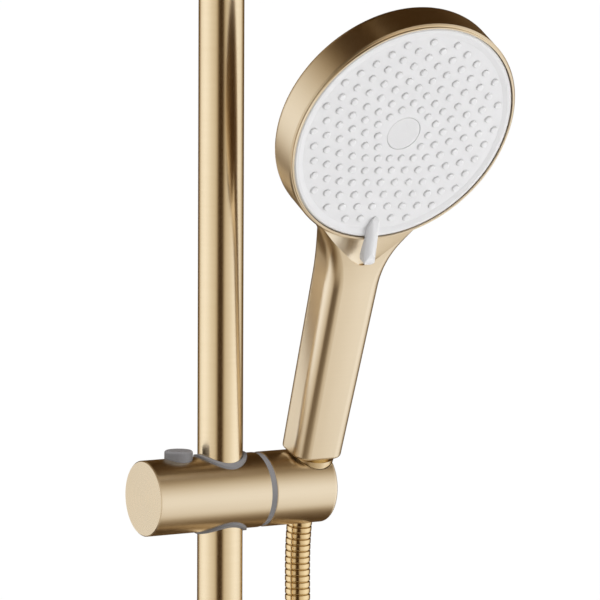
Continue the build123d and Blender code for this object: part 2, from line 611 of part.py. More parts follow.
def spray_lever():
    """Round-backed fin at the bottom of the face that turns it."""
    root = LEVER_IN - FACE_R
    end = -FACE_R - LEVER_OUT
    length = root - end
    right = [(0, root)]
    for along, out in ((0.04, 0.42), (0.14, 0.72), (0.32, 0.93), (0.55, 1.0), (0.78, 0.98), (0.93, 0.72)):
        right.append((LEVER_HALF * out, root - length * along))
    right.append((0, end))
    left = [(-x, y) for x, y in reversed(right)]
    outline = make_face(Curve() + Spline(*right) + Spline(*left))
    blade = extrude(Pos(0, 0, -2) * outline, LEVER_RISE + 4)
    over_rim = -FACE_R + 0.4
    side = [(root, -0.95), (5.0 - FACE_R, -0.95), (2.4 - FACE_R, -0.3), (1.0 - FACE_R, -0.3)]
    side += [(over_rim, 0.5), (end, 1.2)]
    top = [(end, 0.45 * LEVER_RISE)]
    climb = ((0.97, 0.78), (0.9, 0.96), (0.8, 1.0), (0.6, 0.86), (0.4, 0.6), (0.2, 0.31), (0.06, 0.08))
    for along, rise in climb:
        top.append((root - length * along, LEVER_RISE * rise))
    top.append((root, -0.8))
    under = Polyline(*side) + Line(side[-1], top[0])
    profile = make_face(Curve() + under + Spline(*top) + Line(top[-1], side[0]))
    wedge = extrude(Plane.YZ * profile, 8, both=True)
    crest_r = LEVER_HALF + 0.4
    slope = degrees(atan2(LEVER_RISE, 0.8 * length))
    crest = Pos(0, 0, -crest_r) * cyl_y(crest_r, -length - 8, 8)
    crest += Pos(0, -length / 2, -crest_r - 10) * Box(2 * crest_r, length + 16, 20)
    back = Pos(0, root, 0.6) * Rot(-slope, 0, 0) * crest
    save("spray_lever", AT_DISC * Rot(0, 0, LEVER_TURN) * (blade & wedge & back))


# Hose

def hose_corners(drop):
    """Corner points of the hose from the ferrule in the cone nut to the diverter outlet."""
    lean = radians(LEAN)
    x0, y0, z0 = CONE_X, -RAIL_OUT, SLIDER_Z
    start = (x0, y0 - FERRULE_END * sin(lean), z0 + FERRULE_END * cos(lean))
    bend = (x0, start[1] + HOSE_FIRST * sin(lean), start[2] - HOSE_FIRST * cos(lean))
    y1 = bend[1]
    foot = (OUTLET_X, -RAIL_OUT, HOSE_FOOT_Z)
    low = HOSE_FOOT_Z - drop
    down = z0 - low
    corner = LOOP_R * tan(pi / 8)
    points = [start, bend]
    points.append((x0 + 0.4, y1 + 0.1, bend[2] - 52))
    points.append((x0 + 2.5, y1, bend[2] - 150))
    points.append((x0 + 9, y1, z0 - 0.36 * down))
    points.append((x0 + 18, y1 - 1, z0 - 0.54 * down))
    points.append((x0 + 28, y1 - 1, z0 - 0.72 * down))
    points.append((x0 + 36, y1 - 2, low + 150))
    points.append((LOOP_X + LOOP_R, y1 - 3, low + LOOP_R - corner))
    points.append((LOOP_X + corner, y1 - 4, low))
    points.append((LOOP_X - corner, y1 - 6, low))
    points.append((LOOP_X - LOOP_R, y1 - 7, low + LOOP_R - corner))
    points.append((LOOP_X - LOOP_R + 6, y1 - 8, low + 150))
    points.append((OUTLET_X - 22, -RAIL_OUT, low + 0.5 * drop + 40))
    points.append((OUTLET_X - 4, -RAIL_OUT, HOSE_FOOT_Z - 95))
    points.append((OUTLET_X, -RAIL_OUT, HOSE_FOOT_Z - 36))
    points.append(foot)
    return [Vector(*p) for p in points]


def hose_route(points):
    """Straight runs and tangent arcs through the corners, as (kind, data, length) pieces."""
    pieces = []
    radii = []
    here = points[0]
    for i in range(1, len(points) - 1):
        a = points[i] - points[i - 1]
        b = points[i + 1] - points[i]
        da = a.normalized()
        db = b.normalized()
        turn = radians(da.get_angle(db))
        reach = 0.45 * min(a.length, b.length)
        radius = reach / tan(turn / 2)
        radii.append(radius)
        enter = points[i] - da * reach
        leave = points[i] + db * reach
        pieces.append(("line", (here, da), (enter - here).length))
        inward = (db - da).normalized()
        centre = points[i] + inward * (radius / cos(turn / 2))
        pieces.append(("arc", (centre, enter - centre, da, radius), radius * turn))
        here = leave
    last = points[-1] - here
    pieces.append(("line", (here, last.normalized()), last.length))
    return pieces, radii


def route_at(pieces, s):
    """Point and direction at distance s along the route."""
    for kind, data, length in pieces:
        if s <= length + 1e-9:
            break
        s -= length
    s = min(s, length)
    if kind == "line":
        return data[0] + data[1] * s, data[1]
    centre, spoke, ahead, radius = data
    angle = s / radius
    point = centre + spoke * cos(angle) + ahead * (radius * sin(angle))
    return point, (ahead * cos(angle) - spoke * (sin(angle) / radius)).normalized()


def hose_section(pieces, s, radius):
    """Circle across the hose at distance s, always started from the same side."""
    point, ahead = route_at(pieces, s)
    side = Vector(0, 1, 0)
    side = (side - ahead * side.dot(ahead)).normalized()
    return Plane(origin=point, x_dir=side, z_dir=ahead) * Circle(radius)


def ribbed(pieces, start, end, ribs):
    """Ribbed length of hose with its bore."""
    pitch = (end - start) / ribs
    rows = []
    for k in range(ribs):
        base = start + k * pitch
        rows.append((base, HOSE_VALLEY))
        rows.append((base + 0.18 * pitch, HOSE_R))
        rows.append((base + 0.64 * pitch, HOSE_R))
        rows.append((base + 0.82 * pitch, HOSE_VALLEY))
    rows.append((end, HOSE_VALLEY))
    outside = loft([hose_section(pieces, s, r) for s, r in rows], ruled=True)
    steps = max(4, ceil((end - start) / 12))
    inside = [start + (end - start) * k / steps for k in range(steps + 1)]
    return outside - loft([hose_section(pieces, s, HOSE_BORE) for s in inside], ruled=True)


def hose():
    """The hose in three lengths, cut to the stated total length."""
    lengths = []
    for drop in (400.0, 500.0):
        pieces, radii = hose_route(hose_corners(drop))
        lengths.append(sum(p[2] for p in pieces))
    drop = 400.0 + 100.0 * (HOSE_LENGTH - lengths[0]) / (lengths[1] - lengths[0])
    pieces, radii = hose_route(hose_corners(drop))
    total = sum(p[2] for p in pieces)
    print("hose drop", round(drop, 1), "length", round(total, 1), "radii", [round(r) for r in radii])
    save("hose_top", ribbed(pieces, 0, HOSE_TOP_END, round(HOSE_TOP_END / HOSE_PITCH)))
    mid_ribs = round((HOSE_MID_END - HOSE_TOP_END) / HOSE_PITCH)
    save("hose_mid", ribbed(pieces, HOSE_TOP_END, HOSE_MID_END, mid_ribs))
    save("hose_lower", ribbed(pieces, HOSE_MID_END, total, LOWER_RIBS))


def hose_ends():
    """Cone nut, ferrules, washers and the lower nut."""
    nut = cone_z(CONE_R_BOTTOM, CONE_R_TOP, CONE_BOTTOM, CONE_TOP)
    nut -= cyl_z(THREAD_R + SEAT_GAP, 4.2, 30)
    nut -= cyl_z(FERRULE_R + RUN_GAP, -30, 10)
    save("cone_nut", AT_CONE * nut)
    ferrule = cyl_z(FLANGE_R, 4.5, 7.0) + cyl_z(FERRULE_R, FERRULE_END, 5) - cyl_z(HOSE_BORE, -5, 10)
    save("hose_ferrule", AT_CONE * ferrule)
    save("hose_washer", AT_CONE * ring_z(WASHER_R, 6.3, 7.05, 8.95))
    at_foot = AT_RAIL * Pos(OUTLET_X, 0, 0)
    lower_nut = cyl_z(13.2, -43, -20.3)
    lower_nut = fillet(lower_nut.edges().group_by(Axis.Z)[0], 1.5)
    for k in range(10):
        lower_nut -= Rot(0, 0, 36 * k) * Pos(14.6, 0, 0) * cyl_z(2.2, -40, -24)
    lower_nut -= cyl_z(THREAD_R + SEAT_GAP, -39, -10)
    lower_nut -= cyl_z(FERRULE_R + RUN_GAP, -50, -30)
    lower_nut -= Pos(-OUTLET_X, 0, 0) * cyl_x(BARREL_R + TURN_GAP, -50, 50)
    save("hose_lower_nut", at_foot * lower_nut)
    save("hose_lower_washer", at_foot * ring_z(WASHER_R, 6.5, -36, -OUTLET_LEN - SEAT_GAP))
    lower = cyl_z(FLANGE_R, -38.9, -36.05) + cyl_z(FERRULE_R, HOSE_FOOT_Z, -38)
    save("hose_lower_ferrule", at_foot * (lower - cyl_z(HOSE_BORE, -60, -30)))


# Rain head

def ball_joint():
    """Ball stem on the arm, its collar and the seal under the ball."""
    stem = cyl_z(15, 17.5, 45.9)
    stem = fillet(stem.edges().group_by(Axis.Z)[0], 1.5)
    stem += Sphere(BALL_R)
    stem += cyl_z(6.3, 5, 18)
    stem -= cyl_z(THREAD_R + SEAT_GAP, STEM_FLOOR, 50)
    stem -= cyl_z(BALL_BORE, -12, 40)
    save("ball_stem", AT_BALL * stem)
    nipple_end = ARM_END_Z - NIPPLE_LEN - BALL_Z
    save("stem_washer", AT_BALL * ring_z(WASHER_R, 6, STEM_FLOOR + SEAT_GAP, nipple_end - SEAT_GAP))
    collar = cyl_z(18.5, -9, 7.5)
    collar = fillet(collar.edges().group_by(Axis.Z)[-1], 2)
    collar -= Sphere(BALL_R + TURN_GAP)
    collar -= cyl_z(BALL_NECK_R + SEAT_GAP, -10, -0.4)
    collar -= cone_z(7.5, 14, 4, 12)
    save("ball_collar", AT_BALL * collar)
    seal = ring_z(11.2, 5.5, -11.4, -6.6) - Sphere(BALL_R + TURN_GAP)
    save("ball_seal", AT_BALL * seal)


def rain_head():
    """Flat round head: top cover, face plate and soft jets."""
    inside = RAIN_R - RAIN_WALL
    outline = [(0, -14), (16, -14), (24, -14.6), (RAIN_R - 2, -17.5), (RAIN_R, -19.5), (RAIN_R, -25.5)]
    outline += [(inside, -25.5), (inside, -19.6), (24, -16.6), (0, -16.2)]
    cover = turned(outline)
    cover += cyl_z(BALL_NECK_R, -15, -0.6)
    cover -= cyl_z(BALL_R + TURN_GAP + 0.2, -11.7, 1)
    cover -= cyl_z(BALL_BORE, -20, -5)
    save("rain_cover", AT_BALL * cover)
    spots = []
    for n, far in enumerate(RAIN_ROWS):
        count = 6 * (n + 1)
        for k in range(count):
            turn = 2 * pi * (k + 0.5 * (n % 2)) / count
            spots.append((far * cos(turn), far * sin(turn)))
    plate = cyl_z(inside - 0.1, -25.4, -23.4)
    plate = plate.cut(*[Pos(x, y, -24.4) * Cylinder(JET_R + SEAT_GAP, 6) for x, y in spots])
    save("rain_face", AT_BALL * plate)
    jet = Pos(0, 0, -25) * Cone(1.5, JET_R, 4.5)
    mat = cyl_z(RAIN_R - 6, -23.35, -21.8)
    mat = mat.fuse(*[Pos(x, y, 0) * jet for x, y in spots])
    save("rain_jets", AT_BALL * mat)


def build():
    riser()
    overhead_arm()
    wall_bracket()
    diverter_body()
    diverter_inlet()
    diverter_valve()
    slider_body()
    rail_liner()
    rail_brake()
    release_button()
    holder()
    holder_pivot()
    handset_shell()
    handset_waterway()
    spray_face()
    spray_lever()
    hose_ends()
    hose()
    ball_joint()
    rain_head()
    for name, shape in NODES.items():
        export_step(shape, os.path.join(OUT, name + ".step"))
        print(name, round(shape.volume), len(shape.solids()), shape.is_valid)


build()
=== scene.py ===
from math import cos, degrees, pi, radians, sin

import bpy
import numpy as np
from bpy.props import FloatProperty, FloatVectorProperty, IntProperty, PointerProperty
from bpy.types import Operator, Panel, PropertyGroup
from mathutils import Matrix, Vector


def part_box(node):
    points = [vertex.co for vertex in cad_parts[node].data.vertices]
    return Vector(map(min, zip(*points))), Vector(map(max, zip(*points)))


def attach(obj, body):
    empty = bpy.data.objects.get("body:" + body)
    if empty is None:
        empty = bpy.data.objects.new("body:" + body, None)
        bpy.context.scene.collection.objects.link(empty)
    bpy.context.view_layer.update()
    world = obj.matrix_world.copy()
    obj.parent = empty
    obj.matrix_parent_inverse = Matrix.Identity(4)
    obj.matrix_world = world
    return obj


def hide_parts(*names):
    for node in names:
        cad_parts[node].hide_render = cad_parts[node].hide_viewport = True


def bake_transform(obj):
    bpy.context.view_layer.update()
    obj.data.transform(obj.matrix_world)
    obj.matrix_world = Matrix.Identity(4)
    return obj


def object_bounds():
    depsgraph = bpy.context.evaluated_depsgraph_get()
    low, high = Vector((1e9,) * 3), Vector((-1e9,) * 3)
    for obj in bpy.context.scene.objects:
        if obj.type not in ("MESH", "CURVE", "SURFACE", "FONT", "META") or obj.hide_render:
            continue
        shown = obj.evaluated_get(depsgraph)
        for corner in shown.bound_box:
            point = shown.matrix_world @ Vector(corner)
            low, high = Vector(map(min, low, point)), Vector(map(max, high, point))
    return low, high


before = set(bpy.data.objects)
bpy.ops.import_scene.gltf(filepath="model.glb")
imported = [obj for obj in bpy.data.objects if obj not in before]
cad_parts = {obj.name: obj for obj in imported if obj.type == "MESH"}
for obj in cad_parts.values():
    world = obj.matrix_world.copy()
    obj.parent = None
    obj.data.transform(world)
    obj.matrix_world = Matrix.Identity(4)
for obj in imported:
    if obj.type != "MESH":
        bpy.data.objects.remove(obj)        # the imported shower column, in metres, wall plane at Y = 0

CAD_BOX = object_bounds()

bl_info = {
    "name": "Shower column finishes",
    "version": (1, 0, 0),
    "blender": (4, 5, 0),
    "location": "View3D > Sidebar > Shower",
    "description": "Dresses a wall shower column: brushed gold, white spray face, ribbed hose and studio",
    "category": "Object",
}

# Places taken from the frame
RAIL_Y = (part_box("riser_rail")[0].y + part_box("riser_rail")[1].y) / 2
SLIDER_LOW, SLIDER_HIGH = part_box("slider_end_cap")
SLIDER_Z = (SLIDER_LOW.z + SLIDER_HIGH.z) / 2
SLIDER_AT = Vector((0, RAIL_Y, SLIDER_Z))

# The hand shower leans forward in the holder about X
LEAN = radians(20)
LEAN_UP = Vector((0, -sin(LEAN), cos(LEAN)))

# Hose corners from the cone nut down round the loop and up to the diverter outlet
HOSE_ROUTE = [
    (0.0518, -0.0693, 0.5381),
    (0.0518, -0.0625, 0.5193),
    (0.0522, -0.0624, 0.4673),
    (0.0543, -0.0625, 0.3693),
    (0.0608, -0.0625, 0.1796),
    (0.0698, -0.0635, -0.0005),
    (0.0798, -0.0635, -0.1807),
    (0.0878, -0.0645, -0.3110),
    (0.0925, -0.0655, -0.4141),
    (0.0456, -0.0665, -0.4610),
    (-0.0206, -0.0685, -0.4610),
    (-0.0675, -0.0695, -0.4141),
    (-0.0615, -0.0705, -0.3110),
    (-0.0440, -0.0700, -0.2195),
    (-0.0260, -0.0700, -0.1530),
    (-0.0220, -0.0700, -0.0940),
    (-0.0220, -0.0700, -0.0580),
]
# Distances along the hose where one piece ends and the next starts
HOSE_TOP_END = 0.150
HOSE_MID_END = 0.300
HOSE_LEG_END = 0.870

# Steps of the rib profile that lie in the groove
GROOVE_STEPS = (0, 1, 8)

# Colours of the parts inside and of the hose's grooves, each where it is light and where it is deeper; the
# groove colours, darker than the strip, are painted shade in the grooves and partly the strips' own dark
# joint
BRASS = (0.72, 0.56, 0.28)
BRASS_DEEP = (0.6, 0.45, 0.2)
STEEL = (0.62, 0.62, 0.63)
STEEL_DEEP = (0.5, 0.5, 0.51)
SPRING_STEEL = (0.6, 0.6, 0.61)
SPRING_STEEL_DEEP = (0.5, 0.5, 0.5)
GROOVE_SHADE_AND_JOINT = (0.62, 0.42, 0.17)
GROOVE_SHADE_AND_JOINT_DEEP = (0.5, 0.33, 0.12)
INNER_PLASTIC = (0.7, 0.7, 0.69)
RUBBER = (0.03, 0.03, 0.03)

# Soft lights: diameter, and place as seen from the slider
KEY_SIZE = 1.2
KEY_AWAY = (2.0, -1.9, -0.5)
TOP_SIZE = 0.8
TOP_AWAY = (-0.7, -0.5, 2.2)

# Share of the floor that is plain white where it is seen; the rest keeps the shadow
FLOOR_WHITE = 0.9

# Studio tent: radius, steps round and up it, height over the floor, darkest level, and (degrees, level)
# round it from the camera's side and up it from straight down
TENT_R = 4.0
TENT_COLUMNS = 240
TENT_ROWS = 72
TENT_LIFT = 0.004
DARK_LEVEL = 0.02
# Powers of the level in red and blue, which make the dark parts warm
WARM_RED = 0.81
WARM_BLUE = 1.33
TENT_BELT = [(0, 0.01), (12, 0.01), (17, 0.38), (26, 0.64), (49, 0.8), (67, 0.98), (87, 1.08), (105, 1.0),
             (118, 0.88), (126, 0.62), (134, 0.22), (142, 0.06), (180, 0.06)]
TENT_RISE = [(-90, 0.85), (-40, 0.85), (-26, 0.94), (-6, 1.0), (5, 0.96), (21, 0.74), (38, 0.38), (50, 0.08),
             (58, 0.01)]
# Near the floor: how far the dark flag at the camera widens, and the floor's level from front (-) to wall (+)
FLAG_SPREAD = [(-45, 13), (-15, 0)]
TENT_FLOOR = [(-0.5, 0.5), (-0.33, 0.25), (-0.2, 0.12), (0, 0.06), (0.2, 0.03), (0.4, 0.02)]
FLOOR_BLEND = [(-54, 1), (-41, 0)]

# One rib of the hose: share of the pitch, and height from valley (0) to crest (1)
RIB_PROFILE = [(0.0, 0.0), (0.14, 0.0), (0.17, 0.72), (0.22, 0.94), (0.35, 0.99), (0.57, 1.0), (0.79, 0.99),
               (0.92, 0.94), (0.97, 0.72)]


class ShowerFinish(PropertyGroup):
    """Colours and roughness of the finishes."""

    gold: FloatVectorProperty(
        name="Gold", description="Brushed gold where it is light", subtype="COLOR", size=3, min=0, max=1,
        default=(0.92, 0.775, 0.545))
    gold_deep: FloatVectorProperty(
        name="Deep gold", description="Brushed gold in the brush lines", subtype="COLOR", size=3,
        min=0, max=1, default=(0.85, 0.69, 0.455))
    satin: FloatVectorProperty(
        name="Satin gold", description="Gold of the turned and plated parts", subtype="COLOR", size=3,
        min=0, max=1, default=(0.925, 0.80, 0.61))
    hose: FloatVectorProperty(
        name="Hose", description="Polished hose strip where it is light", subtype="COLOR", size=3,
        min=0, max=1, default=(0.92, 0.73, 0.44))
    hose_deep: FloatVectorProperty(
        name="Deep hose", description="Polished hose strip where it is deeper", subtype="COLOR", size=3,
        min=0, max=1, default=(0.86, 0.65, 0.36))
    rail_roughness: FloatProperty(
        name="Rail roughness", description="Roughness of the drawn tubes", subtype="FACTOR", min=0, max=1,
        default=0.21)
    satin_roughness: FloatProperty(
        name="Satin roughness", description="Roughness of the turned and plated parts", subtype="FACTOR",
        min=0, max=1, default=0.28)
    hose_roughness: FloatProperty(
        name="Hose roughness", description="Roughness of the hose strip", subtype="FACTOR", min=0, max=1,
        default=0.18)
    white: FloatVectorProperty(
        name="White", description="Spray face and lever", subtype="COLOR", size=3, min=0, max=1,
        default=(0.80, 0.80, 0.81))
    grey: FloatVectorProperty(
        name="Grey", description="Button, liner and friction ring", subtype="COLOR", size=3, min=0, max=1,
        default=(0.185, 0.18, 0.185))


class ShowerHose(PropertyGroup):
    """Sizes of the ribbed hose."""

    crest: FloatProperty(
        name="Crest radius", description="Radius over the ribs", subtype="DISTANCE", min=0.003, max=0.02,
        default=0.00675)
    valley: FloatProperty(
        name="Valley radius", description="Radius between the ribs", subtype="DISTANCE", min=0.002, max=0.02,
        default=0.00605)
    pitch: FloatProperty(
        name="Pitch", description="Distance from rib to rib", subtype="DISTANCE", min=0.001, max=0.02,
        default=0.00344)
    sides: IntProperty(
        name="Sides", description="Flats round the hose", min=12, max=96, default=40)


class ShowerStage(PropertyGroup):
    """Camera, light and floor."""

    camera_at: FloatVectorProperty(
        name="Camera", description="Camera position", subtype="XYZ", unit="LENGTH", size=3,
        default=(-1.2866, -2.3335, 0.9401))
    yaw: FloatProperty(
        name="Yaw", description="Camera turn to the right of the wall's normal", subtype="ANGLE",
        default=radians(30.53))
    pitch: FloatProperty(
        name="Pitch", description="Camera tilt, up is positive", subtype="ANGLE", default=radians(-6.53))
    roll: FloatProperty(
        name="Roll", description="Camera roll", subtype="ANGLE", default=radians(0.28))
    lens: FloatProperty(
        name="Lens", description="Focal length in millimetres", min=20, max=600, default=300)
    sky: FloatProperty(
        name="Sky", description="Even light from all round", min=0, max=3, default=0.55)
    key: FloatProperty(
        name="Key", description="Power of the soft key light in watts", subtype="POWER", min=0, max=500,
        default=33)
    top: FloatProperty(
        name="Top", description="Power of the soft light overhead in watts", subtype="POWER", min=0, max=500,
        default=50)
    floor_drop: FloatProperty(
        name="Floor drop", description="Floor below the lowest point of the hose", subtype="DISTANCE",
        min=0, max=1, default=0.03)


# Node helpers

def add(tree, kind, **values):
    """New node with attributes set by name."""
    node = tree.nodes.new(kind)
    for name, value in values.items():
        setattr(node, name, value)
    return node


def wire(tree, source, target):
    tree.links.new(source, target)


def maths(tree, operation, a, b):
    """Math node on two inputs, each a socket or a number."""
    node = add(tree, "ShaderNodeMath", operation=operation)
    for socket, value in zip(node.inputs, (a, b)):
        if isinstance(value, bpy.types.NodeSocket):
            wire(tree, value, socket)
        else:
            socket.default_value = value
    return node.outputs[0]


def new_group(name, inputs, outputs):
    """Empty shader node group with named sockets."""
    tree = bpy.data.node_groups.new(name, "ShaderNodeTree")
    for label, kind in inputs:
        tree.interface.new_socket(label, in_out="INPUT", socket_type=kind)
    for label, kind in outputs:
        tree.interface.new_socket(label, in_out="OUTPUT", socket_type=kind)
    return tree, add(tree, "NodeGroupInput"), add(tree, "NodeGroupOutput")


def brush_lines():
    """Fine parallel brush lines: lines run square to Across, so many to the metre."""
    if "Brush Lines" in bpy.data.node_groups:
        return bpy.data.node_groups["Brush Lines"]
    tree, inside, out = new_group(
        "Brush Lines",
        [("Across", "NodeSocketVector"), ("Lines", "NodeSocketFloat"), ("Break-up", "NodeSocketFloat")],
        [("Height", "NodeSocketFloat"), ("Tone", "NodeSocketFloat")])
    where = add(tree, "ShaderNodeTexCoord").outputs["Object"]
    along = add(tree, "ShaderNodeVectorMath", operation="DOT_PRODUCT")
    wire(tree, where, along.inputs[0])
    wire(tree, inside.outputs["Across"], along.inputs[1])
    count = maths(tree, "MULTIPLY", along.outputs["Value"], inside.outputs["Lines"])
    stretched = add(tree, "ShaderNodeVectorMath", operation="SCALE")
    wire(tree, inside.outputs["Across"], stretched.inputs[0])
    wire(tree, count, stretched.inputs["Scale"])
    slow = add(tree, "ShaderNodeVectorMath", operation="SCALE")
    wire(tree, where, slow.inputs[0])
    wire(tree, inside.outputs["Break-up"], slow.inputs["Scale"])
    place = add(tree, "ShaderNodeVectorMath", operation="ADD")
    wire(tree, stretched.outputs[0], place.inputs[0])
    wire(tree, slow.outputs[0], place.inputs[1])
    lines = add(tree, "ShaderNodeTexNoise")
    lines.inputs["Scale"].default_value = 1.0
    lines.inputs["Detail"].default_value = 3.0
    lines.inputs["Roughness"].default_value = 0.7
    wire(tree, place.outputs[0], lines.inputs["Vector"])
    cloud = add(tree, "ShaderNodeTexNoise")
    cloud.inputs["Scale"].default_value = 24.0
    cloud.inputs["Detail"].default_value = 2.0
    wire(tree, where, cloud.inputs["Vector"])
    mixed = maths(tree, "ADD", maths(tree, "MULTIPLY", lines.outputs["Fac"], 0.7),
                  maths(tree, "MULTIPLY", cloud.outputs["Fac"], 0.3))
    wire(tree, lines.outputs["Fac"], out.inputs["Height"])
    wire(tree, mixed, out.inputs["Tone"])
    return tree


def turned_lines():
    """Fine rings left by turning, about an axis through a centre."""
    if "Turned Lines" in bpy.data.node_groups:
        return bpy.data.node_groups["Turned Lines"]
    tree, inside, out = new_group(
        "Turned Lines",
        [("Centre", "NodeSocketVector"), ("Axis", "NodeSocketVector"), ("Lines", "NodeSocketFloat")],
        [("Height", "NodeSocketFloat"), ("Tone", "NodeSocketFloat")])
    where = add(tree, "ShaderNodeTexCoord").outputs["Object"]
    spoke = add(tree, "ShaderNodeVectorMath", operation="SUBTRACT")
    wire(tree, where, spoke.inputs[0])
    wire(tree, inside.outputs["Centre"], spoke.inputs[1])
    square = add(tree, "ShaderNodeVectorMath", operation="CROSS_PRODUCT")
    wire(tree, spoke.outputs[0], square.inputs[0])
    wire(tree, inside.outputs["Axis"], square.inputs[1])
    far = add(tree, "ShaderNodeVectorMath", operation="LENGTH")
    wire(tree, square.outputs[0], far.inputs[0])
    rings = add(tree, "ShaderNodeTexNoise", noise_dimensions="1D")
    rings.inputs["Scale"].default_value = 1.0
    rings.inputs["Detail"].default_value = 3.0
    wire(tree, maths(tree, "MULTIPLY", far.outputs["Value"], inside.outputs["Lines"]), rings.inputs["W"])
    cloud = add(tree, "ShaderNodeTexNoise")
    cloud.inputs["Scale"].default_value = 30.0
    wire(tree, where, cloud.inputs["Vector"])
    mixed = maths(tree, "ADD", maths(tree, "MULTIPLY", rings.outputs["Fac"], 0.6),
                  maths(tree, "MULTIPLY", cloud.outputs["Fac"], 0.4))
    wire(tree, rings.outputs["Fac"], out.inputs["Height"])
    wire(tree, mixed, out.inputs["Tone"])
    return tree


def moulded_grain():
    """Very fine grain and slow tone changes of moulded plastic and rubber."""
    if "Moulded Grain" in bpy.data.node_groups:
        return bpy.data.node_groups["Moulded Grain"]
    tree, inside, out = new_group(
        "Moulded Grain", [("Grain", "NodeSocketFloat")],
        [("Height", "NodeSocketFloat"), ("Tone", "NodeSocketFloat")])
    where = add(tree, "ShaderNodeTexCoord").outputs["Object"]
    fine = add(tree, "ShaderNodeTexNoise")
    fine.inputs["Detail"].default_value = 2.0
    wire(tree, where, fine.inputs["Vector"])
    wire(tree, inside.outputs["Grain"], fine.inputs["Scale"])
    slow = add(tree, "ShaderNodeTexNoise")
    slow.inputs["Scale"].default_value = 35.0
    wire(tree, where, slow.inputs["Vector"])
    wire(tree, fine.outputs["Fac"], out.inputs["Height"])
    wire(tree, slow.outputs["Fac"], out.inputs["Tone"])
    return tree


def new_material(name):
    """Material with its Principled shader."""
    material = bpy.data.materials.new(name)
    material.use_nodes = True
    return material, material.node_tree, material.node_tree.nodes["Principled BSDF"]


def tone_colour(tree, tone, low, high):
    """Colour that moves between two tones with a mask."""
    mix = add(tree, "ShaderNodeMix", data_type="RGBA")
    wire(tree, tone, mix.inputs["Factor"])
    mix.inputs["A"].default_value = (*low, 1)
    mix.inputs["B"].default_value = (*high, 1)
    return mix.outputs["Result"]


def tone_value(tree, tone, low, high):
    """Number that moves between two limits with a mask."""
    span = add(tree, "ShaderNodeMapRange")
    wire(tree, tone, span.inputs["Value"])
    span.inputs["From Min"].default_value = 0.25
    span.inputs["From Max"].default_value = 0.75
    span.inputs["To Min"].default_value = low
    span.inputs["To Max"].default_value = high
    return span.outputs["Result"]


def relief(tree, height, strength, distance):
    """Bump from a height."""
    bump = add(tree, "ShaderNodeBump")
    bump.inputs["Strength"].default_value = strength
    bump.inputs["Distance"].default_value = distance
    wire(tree, height, bump.inputs["Height"])
    return bump.outputs["Normal"]


def brushed_metal(name, light, deep, roughness, across, lines=2600.0, depth=0.000004, spread=0.03):
    """Metal with brush lines square to the given direction, whose roughness varies by the spread."""
    material, tree, shader = new_material(name)
    brush = add(tree, "ShaderNodeGroup", node_tree=brush_lines())
    brush.inputs["Across"].default_value = across
    brush.inputs["Lines"].default_value = lines
    brush.inputs["Break-up"].default_value = 30.0
    shader.inputs["Metallic"].default_value = 1.0
    wire(tree, tone_colour(tree, brush.outputs["Tone"], deep, light), shader.inputs["Base Color"])
    wire(tree, tone_value(tree, brush.outputs["Tone"], roughness + spread, roughness - spread),
         shader.inputs["Roughness"])
    wire(tree, relief(tree, brush.outputs["Height"], 0.5, depth), shader.inputs["Normal"])
    return material


def moulded(name, colour, roughness, grain=2500.0, depth=0.00002, milky=0.0):
    """Plastic or rubber with a fine moulded grain, lit through a little where it is milky."""
    material, tree, shader = new_material(name)
    texture = add(tree, "ShaderNodeGroup", node_tree=moulded_grain())
    texture.inputs["Grain"].default_value = grain
    darker = [0.95 * c for c in colour]
    wire(tree, tone_colour(tree, texture.outputs["Tone"], darker, colour), shader.inputs["Base Color"])
    wire(tree, tone_value(tree, texture.outputs["Tone"], roughness + 0.04, roughness - 0.02),
         shader.inputs["Roughness"])
    shader.inputs["Subsurface Weight"].default_value = milky
    shader.inputs["Subsurface Scale"].default_value = 0.0015
    shader.inputs["Subsurface Radius"].default_value = (1, 1, 1)
    wire(tree, relief(tree, texture.outputs["Height"], 0.3, depth), shader.inputs["Normal"])
    return material


def dress(material, *nodes):
    """Give CAD nodes a finish."""
    for name in nodes:
        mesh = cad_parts[name].data
        mesh.materials.clear()
        mesh.materials.append(material)


def gold(finish, name, across, lines=4200.0, depth=0.000003):
    """Brushed gold of the drawn tubes and nuts, with lines square to a direction."""
    return brushed_metal(name, finish.gold, finish.gold_deep, finish.rail_roughness, across, lines, depth)


def satin(finish, name, across):
    """Satin gold with a hardly visible brush."""
    deep = [0.94 * c for c in finish.satin]
    return brushed_metal(name, finish.satin, deep, finish.satin_roughness, across,
                         lines=1800.0, depth=0.0000001, spread=0.006)


def brass(name, across):
    """Turned brass of the parts inside."""
    return brushed_metal(name, BRASS, BRASS_DEEP, roughness=0.28, across=across)


def turned_gold(finish, name, axis, *nodes):
    """Satin gold with turned rings, spread sideways by them, on round parts that share an axis."""
    low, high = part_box(nodes[0])
    material, tree, shader = new_material(name)
    rings = add(tree, "ShaderNodeGroup", node_tree=turned_lines())
    rings.inputs["Centre"].default_value = (low + high) / 2
    rings.inputs["Axis"].default_value = [float(letter == axis) for letter in "XYZ"]
    rings.inputs["Lines"].default_value = 3200.0
    shader.inputs["Metallic"].default_value = 1.0
    shader.inputs["Anisotropic"].default_value = 0.55
    deep = [0.95 * c for c in finish.satin]
    wire(tree, tone_colour(tree, rings.outputs["Tone"], deep, finish.satin), shader.inputs["Base Color"])
    middle = finish.satin_roughness
    rough = tone_value(tree, rings.outputs["Tone"], middle + 0.03, middle - 0.03)
    wire(tree, rough, shader.inputs["Roughness"])
    wire(tree, relief(tree, rings.outputs["Height"], 0.4, 0.0000004), shader.inputs["Normal"])
    around = add(tree, "ShaderNodeTangent", direction_type="RADIAL", axis=axis)
    wire(tree, around.outputs[0], shader.inputs["Tangent"])
    dress(material, *nodes)


# Hose

